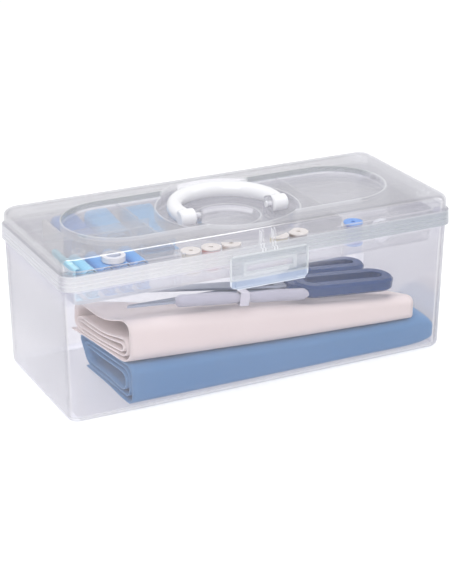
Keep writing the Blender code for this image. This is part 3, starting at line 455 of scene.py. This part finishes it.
def woundThread(name, colour, shade):
    look = threadLook
    paint = Paint(name, {"Roughness": look["roughness"], "Sheen Weight": look["sheen"]})
    height = paint.add("ShaderNodeSeparateXYZ", None, {0: paint.place()}, 2)
    strand = (height * (2 * math.pi / look["pitch"])).alone("SINE") * 0.5 + 0.5
    share = strand * look["strandShare"] + paint.cloudy(*look["stray"]) * look["strayShare"]
    wound = {
        "Base Color": paint.mixColour(share, shade, colour),
        "Normal": paint.bump(strand, *look["bump"]),
    }
    paint.fill(paint.shader, wound)
    return paint.material


steelLook = {
    "colour": rgba(0.36, 0.40, 0.48), "strokes": 300.0, "stretch": (0.15, 6.0, 6.0),
    "roughness": 0.22, "varied": 0.2, "bump": (0.1, 0.0001),
}


def brushedSteel():
    look = steelLook
    paint = Paint("brushedSteel", {"Base Color": look["colour"], "Metallic": 1.0})
    strokes = paint.cloudy(look["strokes"], source=paint.mapped(look["stretch"], paint.place()))
    brushed = {
        "Roughness": look["roughness"] + strokes * look["varied"],
        "Normal": paint.bump(strokes, *look["bump"]),
    }
    paint.fill(paint.shader, brushed)
    return paint.material


# each moulding's colour, roughness, coat and the tint of its shine
mouldings = {
    "spool": (rgba(0.80, 0.75, 0.70), 0.3),
    "blueSpool": (rgba(0.10, 0.32, 0.80), 0.3),
    "white": (rgba(0.79, 0.79, 0.82), 0.14, 0.6),
    "navy": (rgba(0.002, 0.038, 0.150), 0.16, 0.20, rgba(0.45, 0.65, 1.0)),
}
# each cloth's two colours, and the elastic's coarser weave
cloths = {
    "blueCotton": (rgba(0.095, 0.25, 0.48), rgba(0.13, 0.29, 0.53)),
    "creamCotton": (rgba(0.94, 0.83, 0.79), rgba(0.88, 0.76, 0.73)),
    "skyCotton": (rgba(0.12, 0.34, 0.72), rgba(0.19, 0.43, 0.80)),
    "azureCotton": (rgba(0.24, 0.60, 0.84), rgba(0.34, 0.70, 0.90)),
    "navyCotton": (rgba(0.04, 0.20, 0.62), rgba(0.10, 0.28, 0.70)),
    "paleCotton": (rgba(0.10, 0.46, 0.90), rgba(0.20, 0.58, 0.96)),
    "cyanCotton": (rgba(0.36, 0.74, 0.90), rgba(0.47, 0.82, 0.94)),
    "peachTape": (rgba(0.80, 0.77, 0.77), rgba(0.84, 0.80, 0.79)),
    "bandElastic": (rgba(0.72, 0.70, 0.76), rgba(0.66, 0.64, 0.70)),
    "whiteElastic": (rgba(0.60, 0.59, 0.67), rgba(0.49, 0.48, 0.57), 0.0009, 0.8),
}
threads = {
    "cream_thread": (rgba(0.85, 0.76, 0.58), rgba(0.62, 0.52, 0.36)),
    "pink_thread": (rgba(0.80, 0.38, 0.36), rgba(0.55, 0.2, 0.2)),
    "ivory_thread": (rgba(0.88, 0.84, 0.74), rgba(0.66, 0.60, 0.50)),
    "yellow_thread": (rgba(0.86, 0.74, 0.40), rgba(0.62, 0.50, 0.22)),
    "brown_thread": (rgba(0.30, 0.20, 0.15), rgba(0.16, 0.10, 0.07)),
    "blue_thread": (rgba(0.05, 0.20, 0.72), rgba(0.02, 0.10, 0.45)),
}
paints = {
    "lid": lidPlastic(),
    "base": basePlastic(),
    "tray": trayPlastic(),
    "divider": dividerPlastic(),
    "latch": latchPlastic(),
    "steel": brushedSteel(),
}
for paintName, settings in mouldings.items():
    paints[paintName] = mouldedPlastic(f"{paintName}Plastic", *settings)
for paintName, settings in cloths.items():
    paints[paintName] = woven(paintName, *settings)
for paintName, settings in threads.items():
    paints[paintName] = woundThread(paintName, *settings)
print("materials made:", len(paints))


def pieceName(node):
    return node.title().replace("_", "")


def keep(mesh, node, paintName, smoothAngle):
    # turns the bmesh into a piece that stands for a CAD node and moves with that node's body
    data = bpy.data.meshes.new(pieceName(node))
    mesh.to_mesh(data)
    mesh.free()
    data.shade_smooth()
    data.set_sharp_from_angle(angle=math.radians(smoothAngle))
    data.materials.append(paints[paintName])
    piece = bpy.data.objects.new(pieceName(node), data)
    bpy.context.scene.collection.objects.link(piece)
    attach(piece, bodyOfNode[node])
    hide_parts(node)
    return piece


# each hard node's paint and the radius of its rounded edges
hardParts = {
    "base": ("base", 0.0005),
    "lid": ("lid", 0.0005),
    "tray": ("tray", 0.0003),
    "front_latch": ("latch", 0.0004),
    "handle": ("white", 0.0006),
    "divider_left_front": ("divider", 0.0003),
    "divider_left_rear": ("divider", 0.0003),
    "divider_right_front": ("divider", 0.0003),
    "divider_right_rear": ("divider", 0.0003),
    "scissor_blade_lower": ("steel", 0.0003),
    "scissor_blade_upper": ("steel", 0.0003),
    "scissor_grip_large": ("navy", 0.0022),
    "scissor_grip_small": ("navy", 0.0022),
    "scissor_screw": ("steel", 0.0003),
    "white_tape_roll": ("white", 0.0003),
    "pin_wheel": ("white", 0.0006),
    "hank_band": ("bandElastic", 0.0002),
}
spoolEdge, threadEdge = 0.0003, 0.0004
edgeLook = {"merge": 1e-5, "flat": 0.5, "sharp": 35, "segments": 3, "smooth": 40}


def rounded(node, paintName, fillet):
    # a copy of a CAD node with its edges rounded over
    mesh = bmesh.new()
    mesh.from_mesh(frame["nodes"][node].data)
    bmesh.ops.remove_doubles(mesh, verts=mesh.verts, dist=edgeLook["merge"])
    flat = math.radians(edgeLook["flat"])
    bmesh.ops.dissolve_limit(mesh, angle_limit=flat, verts=mesh.verts, edges=mesh.edges)
    least = math.radians(edgeLook["sharp"])
    sharp = [e for e in mesh.edges if e.is_manifold and e.calc_face_angle() > least]
    bmesh.ops.bevel(
        mesh, geom=sharp, offset=fillet, segments=edgeLook["segments"], profile=0.5,
        affect="EDGES", material=-1, clamp_overlap=True,
    )
    piece = keep(mesh, node, paintName, edgeLook["smooth"])
    flats = piece.modifiers.new("flats", "WEIGHTED_NORMAL")
    flats.keep_sharp = True


for nodeName, (paintName, fillet) in hardParts.items():
    rounded(nodeName, paintName, fillet)
for nodeName in bodyOfNode:
    if nodeName.endswith("_spool"):
        rounded(nodeName, "blueSpool" if nodeName.startswith("blue") else "spool", spoolEdge)
    if nodeName.endswith("_thread"):
        rounded(nodeName, nodeName, threadEdge)
print("hard parts rounded")

sheetLook = {
    "spacing": 0.003,  # the most that two points along a fold stand apart
    "fillet": 6,  # steps round a fold
    "ragged": 0.0012, "raggedScale": 25,
    "rippleAlong": 30, "rippleAcross": 22, "fineRipple": 90, "sideways": 0.6,
}


def spiralPath(width, height, pitch, turns, corner, top=0.0):
    # a flat spiral, from the outer end at the back of the floor, round the front and inwards
    points = [Vector((width, 0))]
    for turn in range(turns):
        inset = turn * pitch
        high = height - inset - (top if turn else 0)
        points += [
            Vector((inset, inset)),
            Vector((inset, high)),
            Vector((width - inset - pitch, high)),
            Vector((width - inset - pitch, inset + pitch)),
        ]
    points.pop()
    filleted = [points[0]]
    for before, here, after in zip(points, points[1:], points[2:]):
        coming, going = here - before, after - here
        radius = min(corner, coming.length * 0.48, going.length * 0.48)
        coming, going = coming.normalized(), going.normalized()
        centre = here - coming * radius + going * radius
        for step in range(sheetLook["fillet"] + 1):
            angle = math.pi / 2 * step / sheetLook["fillet"]
            turned = coming * math.sin(angle) - going * math.cos(angle)
            filleted.append(centre + radius * turned)
    filleted.append(points[-1])
    return evenly(filleted)


def evenly(points):
    made = [points[0]]
    for before, after in zip(points, points[1:]):
        pieces = max(1, math.ceil((after - before).length / sheetLook["spacing"]))
        made += [before.lerp(after, (step + 1) / pieces) for step in range(pieces)]
    return [p for p, q in zip(made, made[1:] + [None]) if q is None or (p - q).length > 1e-5]


def foldedSheet(node, paintName, path, ends, shape, steps, thickness, wrinkle):
    # a sheet whose cross-section follows path, run between its ends and put in place by shape
    look = sheetLook
    mesh = bmesh.new()
    row = [mesh.verts.new((0, p.x, p.y)) for p in path]
    edges = [mesh.edges.new(pair) for pair in zip(row, row[1:])]
    for step in range(steps):
        made = bmesh.ops.extrude_edge_only(mesh, edges=edges)["geom"]
        row = [v for v in made if isinstance(v, bmesh.types.BMVert)]
        edges = [e for e in made if isinstance(e, bmesh.types.BMEdge)]
        bmesh.ops.translate(mesh, verts=row, vec=(1 / steps, 0, 0))
    lengths = [0.0]
    for before, after in zip(path, path[1:]):
        lengths.append(lengths[-1] + (after - before).length)
    flat = mesh.loops.layers.uv.new("flat")
    alongOf = {(round(p.x, 6), round(p.y, 6)): far for p, far in zip(path, lengths)}
    span = ends[1] - ends[0]
    for face in mesh.faces:
        for loop in face.loops:
            x, y, z = loop.vert.co
            loop[flat].uv = (x * span, alongOf[(round(y, 6), round(z, 6))])
    for vert in mesh.verts:
        share, across, up = vert.co
        far = alongOf[(round(across, 6), round(up, 6))]
        ragged = look["ragged"] * noise.noise(Vector((far * look["raggedScale"], 3.1, 0)))
        place = shape(ends[0] + span * share + ragged * (1 - 2 * share), across, up)
        coarse = Vector((share * span * look["rippleAlong"], far * look["rippleAcross"], 1.7))
        ripple = noise.noise(coarse) + 0.5 * noise.noise(place * look["fineRipple"])
        vert.co = place
        vert.co.z -= wrinkle * (0.5 + 0.5 * ripple)
        vert.co.y += wrinkle * look["sideways"] * ripple
    bmesh.ops.recalc_face_normals(mesh, faces=mesh.faces)
    piece = keep(mesh, node, paintName, 180)
    wall = piece.modifiers.new("cloth", "SOLIDIFY")
    wall.thickness = thickness
    wall.offset = 0


# the two cloths in the base: lengths in metres, slopes and curves along the box
stackLook = {
    "cloth": 0.0011, "gap": 0.0003, "turns": 3, "steps": 60, "endInset": 0.002,
    "bluePitch": 0.0042, "blueCorner": 0.007, "blueWrinkle": 0.0009,
    "blueMiddle": 0.0302, "blueSlope": -0.045, "blueCurve": 0.08,
    "blueEnd": 0.1575, "blueSwell": 0.0035, "noseFlat": 0.86, "nosePower": 2.4,
    "noseUnder": 0.8, "nosePlan": 0.003,
    "blueShift": (0.005, 0.003, 0.009), "blueTurn": 0.005,
    "creamPitch": 0.0040, "creamCorner": 0.010, "creamWrinkle": 0.0008, "creamInner": 0.012,
    "creamSlope": -0.105, "creamDrop": 0.020, "creamHeld": 0.45, "creamSag": 0.006,
    "creamShift": (0.006, 0.013), "creamTurn": 0.007,
    "pull": 0.07,  # how far in from its left end a cloth is pulled about
}
blueLow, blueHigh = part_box("blue_cloth")
creamLow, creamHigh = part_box("cream_cloth")


def blueTopAt(x):
    return stackLook["blueMiddle"] + stackLook["blueSlope"] * x + stackLook["blueCurve"] * x * x


def leftEnd(x, low):
    share = min(1.0, max(0.0, (x - low) / stackLook["pull"]))
    return 1 - share * share * (3 - 2 * share)


def blueShape(x, across, up):
    # past the cream cloth the end swells, then rounds off to a tip halfway up
    look = stackLook
    start = creamHigh.x + 0.001
    nose = min(1.0, max(0.0, (x - start) / (look["blueEnd"] - start)))
    swell = look["blueSwell"] * min(1.0, nose * 5)
    roundness = math.sqrt(1 - look["noseFlat"] * nose ** look["nosePower"])
    thick = blueTopAt(x) - blueLow.z
    top = (thick + swell) * (0.5 + 0.5 * roundness)
    bottom = thick * (0.5 - 0.5 * roundness) * look["noseUnder"]
    full = blueHigh.z - blueLow.z
    depth = across / (blueHigh.y - blueLow.y)
    pull = leftEnd(x, blueLow.x)
    even, deep, high = look["blueShift"]
    shift = pull * (even + depth * (deep + high * up / full))
    shift += nose**2 * look["nosePlan"] * abs(2 * depth - 1) ** 3
    y = blueLow.y + across + pull * look["blueTurn"] * depth
    return Vector((x - shift, y, blueLow.z + bottom + up / full * (top - bottom)))


def creamShape(x, across, up):
    look = stackLook
    full = creamHigh.z - (blueTopAt(creamLow.x) + look["gap"])
    low = blueTopAt(x) + look["gap"]
    depth = across / (creamHigh.y - creamLow.y)
    pull = leftEnd(x, creamLow.x)
    sag = look["creamSag"] * math.sin(math.pi * min(1.0, depth * 1.1)) ** 2 * pull
    high = creamHigh.z + look["creamSlope"] * (x - creamLow.x)
    high -= look["creamDrop"] * depth * (1 - look["creamHeld"] * pull) + sag
    even, deep = look["creamShift"]
    y = creamLow.y + across + pull * look["creamTurn"] * depth
    return Vector((x - pull * (even + deep * depth), y, low + up / full * (high - low)))


def foldStack():
    look = stackLook
    inset = look["cloth"]
    width = blueHigh.y - blueLow.y - 2 * inset
    height = blueHigh.z - blueLow.z - 2 * inset
    path = spiralPath(width, height, look["bluePitch"], look["turns"], look["blueCorner"])
    path = [p + Vector((inset, inset)) for p in path]
    ends = (blueLow.x + look["endInset"], look["blueEnd"])
    foldedSheet(
        "blue_cloth", "blueCotton", path, ends, blueShape, look["steps"], inset,
        look["blueWrinkle"],
    )
    height = creamHigh.z - blueTopAt(creamLow.x) - 2 * inset
    path = spiralPath(
        width, height, look["creamPitch"], look["turns"], look["creamCorner"], look["creamInner"]
    )
    path = [p + Vector((inset, inset)) for p in path]
    ends = (creamLow.x + look["endInset"], creamHigh.x + look["endInset"])
    foldedSheet(
        "cream_cloth", "creamCotton", path, ends, creamShape, look["steps"], inset,
        look["creamWrinkle"],
    )


foldStack()
print("cloths folded")

# each small cloth's paint, the pitch of its folds and how round they are
wads = {
    "cyan_cloth": ("cyanCotton", 0.0022, 0.2),
    "navy_fabric": ("navyCotton", 0.0030, 0.2),
    "sky_fabric": ("paleCotton", 0.0030, 0.2),
    "sky_ribbon": ("paleCotton", 0.0030, 0.2),
    "peach_tape": ("peachTape", 0.0020, 0.2),
    "blue_ribbon_1": ("azureCotton", 0.0016, 0.4),
    "blue_ribbon_2": ("skyCotton", 0.0016, 0.4),
    "blue_ribbon_3": ("skyCotton", 0.0016, 0.4),
    "blue_ribbon_4": ("skyCotton", 0.0016, 0.4),
}
wadLook = {
    "inset": 0.0006, "endInset": 0.001, "steps": 24, "thick": 0.0007, "wrinkle": 0.0003,
    # the cloths at the back of the tray lean up its rear wall, and the last one spreads out
    "lean": {"navy_fabric": 0.0030, "sky_fabric": 0.0045, "sky_ribbon": 0.0095},
    "spread": {"sky_ribbon": (0.0015, 0.0090, 0.0055)},
}


def foldWad(node, paintName, pitch, bend):
    # a small folded cloth whose folds show at its front and rear ends
    look = wadLook
    inset = look["inset"]
    lean = look["lean"].get(node, 0.0)
    left, right, rear = look["spread"].get(node, (0.0, 0.0, 0.0))
    low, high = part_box(node)
    low = Vector((low.x - left, low.y, low.z))
    high = Vector((high.x + right, high.y + rear, high.z))
    width, height = high.x - low.x - 2 * inset, high.z - low.z - 2 * inset
    turns = max(1, int(min(width, height) / 2 / pitch))
    path = spiralPath(width, height, pitch, turns, min(width, height) * bend)

    def shape(y, across, up):
        share = max(0.0, (y - low.y) / (high.y - low.y))
        rise = up * (1 + lean * share**1.5 / height)
        return Vector((low.x + inset + across, y, low.z + inset + rise))

    ends = (low.y + look["endInset"], high.y - look["endInset"])
    foldedSheet(
        node, paintName, path, ends, shape, look["steps"], look["thick"], look["wrinkle"]
    )


for nodeName, (paintName, pitch, bend) in wads.items():
    foldWad(nodeName, paintName, pitch, bend)

hankLook = {
    "left": (-0.074, 0.0805), "right": (0.040, 0.0660), "runs": 4, "pitch": 0.0008,
    "flat": 0.0102, "stands": 0.0086, "bulge": 0.0021, "thick": 0.0006,
    "short": 0.001, "bendInset": 0.0005, "bendSteps": 8, "steps": 6, "wrinkle": 0.0001,
    "waist": 0.3, "waistHalf": 0.009, "endFrom": 0.0050, "endOver": 0.0045, "endThin": 0.9,
}


def hankPath(length):
    # a ribbon folded to and fro
    pitch, runs, bendSteps = hankLook["pitch"], hankLook["runs"], hankLook["bendSteps"]
    far = length / 2 - pitch / 2 - hankLook["bendInset"]
    path = []
    for run in range(runs):
        level = (run - (runs - 1) / 2) * pitch
        line = [Vector((-far, level)), Vector((far, level))]
        path += line if run % 2 == 0 else line[::-1]
        if run < runs - 1:
            side = 1 if run % 2 == 0 else -1
            centre = Vector((side * far, level + pitch / 2))
            for step in range(1, bendSteps):
                angle = -math.pi / 2 + math.pi * step / bendSteps
                turned = Vector((side * math.cos(angle), math.sin(angle)))
                path.append(centre + turned * pitch / 2)
    return evenly(path)


def foldHank():
    # the elastic stands on its edge, cupped towards the front and drawn in at its tie
    look = hankLook
    low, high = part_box("elastic_hank")
    start, end = Vector(look["left"]), Vector(look["right"])
    length = (end - start).length - look["short"]
    along = (end - start).normalized()
    up = Vector((-along.y, along.x))
    middle = (start + end) / 2
    squeeze = look["stands"] / look["flat"]

    def shape(rise, across, level):
        share = rise / look["flat"] * 2
        waist = 1 - look["waist"] * math.exp(-((across / look["waistHalf"]) ** 2))
        pastEnd = (abs(across) - length / 2 + look["endFrom"]) / look["endOver"]
        pastEnd = min(1.0, max(0.0, pastEnd))
        waist *= math.sqrt(1 - look["endThin"] * pastEnd * pastEnd)
        spot = middle + along * across + up * rise * squeeze * waist
        y = (low.y + high.y) / 2 + level - look["bulge"] * (0.5 - share**2)
        return Vector((spot.x, y, spot.y))

    half = look["flat"] / 2
    foldedSheet(
        "elastic_hank", "whiteElastic", hankPath(length), (-half, half), shape, look["steps"],
        look["thick"], look["wrinkle"],
    )


foldHank()
print("ribbons folded")

studio = {
    "camera": (-0.5660, -1.1322, 0.5714), "azimuth": -26.5, "elevation": 22.28,
    "lens": 106.19, "sensor": 36, "farthest": 50,
    "sky": rgba(1.0, 1.0, 1.0), "skyStrength": 0.72,
    "floorHalf": 8, "floorColour": rgba(0.95, 0.95, 0.95),
    # each lamp's place, size and power
    "lamps": {
        "key": ((-1.2, -1.4, 1.9), 1.6, 28),
        "fill": ((1.6, -1.0, 1.4), 1.4, 7),
        "top": ((0.1, 0.5, 2.2), 1.8, 18),
    },
}


def makeStudio():
    scene = bpy.context.scene
    scene.view_settings.view_transform = "Standard"
    scene.cycles.transparent_max_bounces = 48
    world = bpy.data.worlds.new("studio")
    world.use_nodes = True
    sky = world.node_tree.nodes["Background"]
    sky.inputs["Color"].default_value = studio["sky"]
    sky.inputs["Strength"].default_value = studio["skyStrength"]
    scene.world = world

    floor = bmesh.new()
    bmesh.ops.create_grid(floor, x_segments=1, y_segments=1, size=studio["floorHalf"])
    data = bpy.data.meshes.new("floor")
    floor.to_mesh(data)
    floor.free()
    ground = bpy.data.objects.new("floor", data)
    scene.collection.objects.link(ground)
    matt = {"Base Color": studio["floorColour"], "Roughness": 0.9, "Specular IOR Level": 0.1}
    data.materials.append(Paint("paleFloor", matt).material)

    for name, (place, size, power) in studio["lamps"].items():
        lamp = bpy.data.lights.new(name, "AREA")
        lamp.size = size
        lamp.energy = power
        holder = bpy.data.objects.new(name, lamp)
        holder.location = place
        holder.rotation_euler = (-Vector(place)).to_track_quat("-Z", "Y").to_euler()
        scene.collection.objects.link(holder)

    azimuth, elevation = math.radians(studio["azimuth"]), math.radians(studio["elevation"])
    level = math.cos(elevation)
    back = Vector((math.sin(azimuth) * level, -math.cos(azimuth) * level, math.sin(elevation)))
    lens = bpy.data.cameras.new("camera")
    lens.lens = studio["lens"]
    lens.sensor_width = studio["sensor"]
    lens.clip_end = studio["farthest"]
    camera = bpy.data.objects.new("camera", lens)
    camera.location = studio["camera"]
    camera.rotation_mode = "QUATERNION"
    camera.rotation_quaternion = (-back).to_track_quat("-Z", "Y")
    scene.collection.objects.link(camera)
    scene.camera = camera


makeStudio()
print("studio ready")
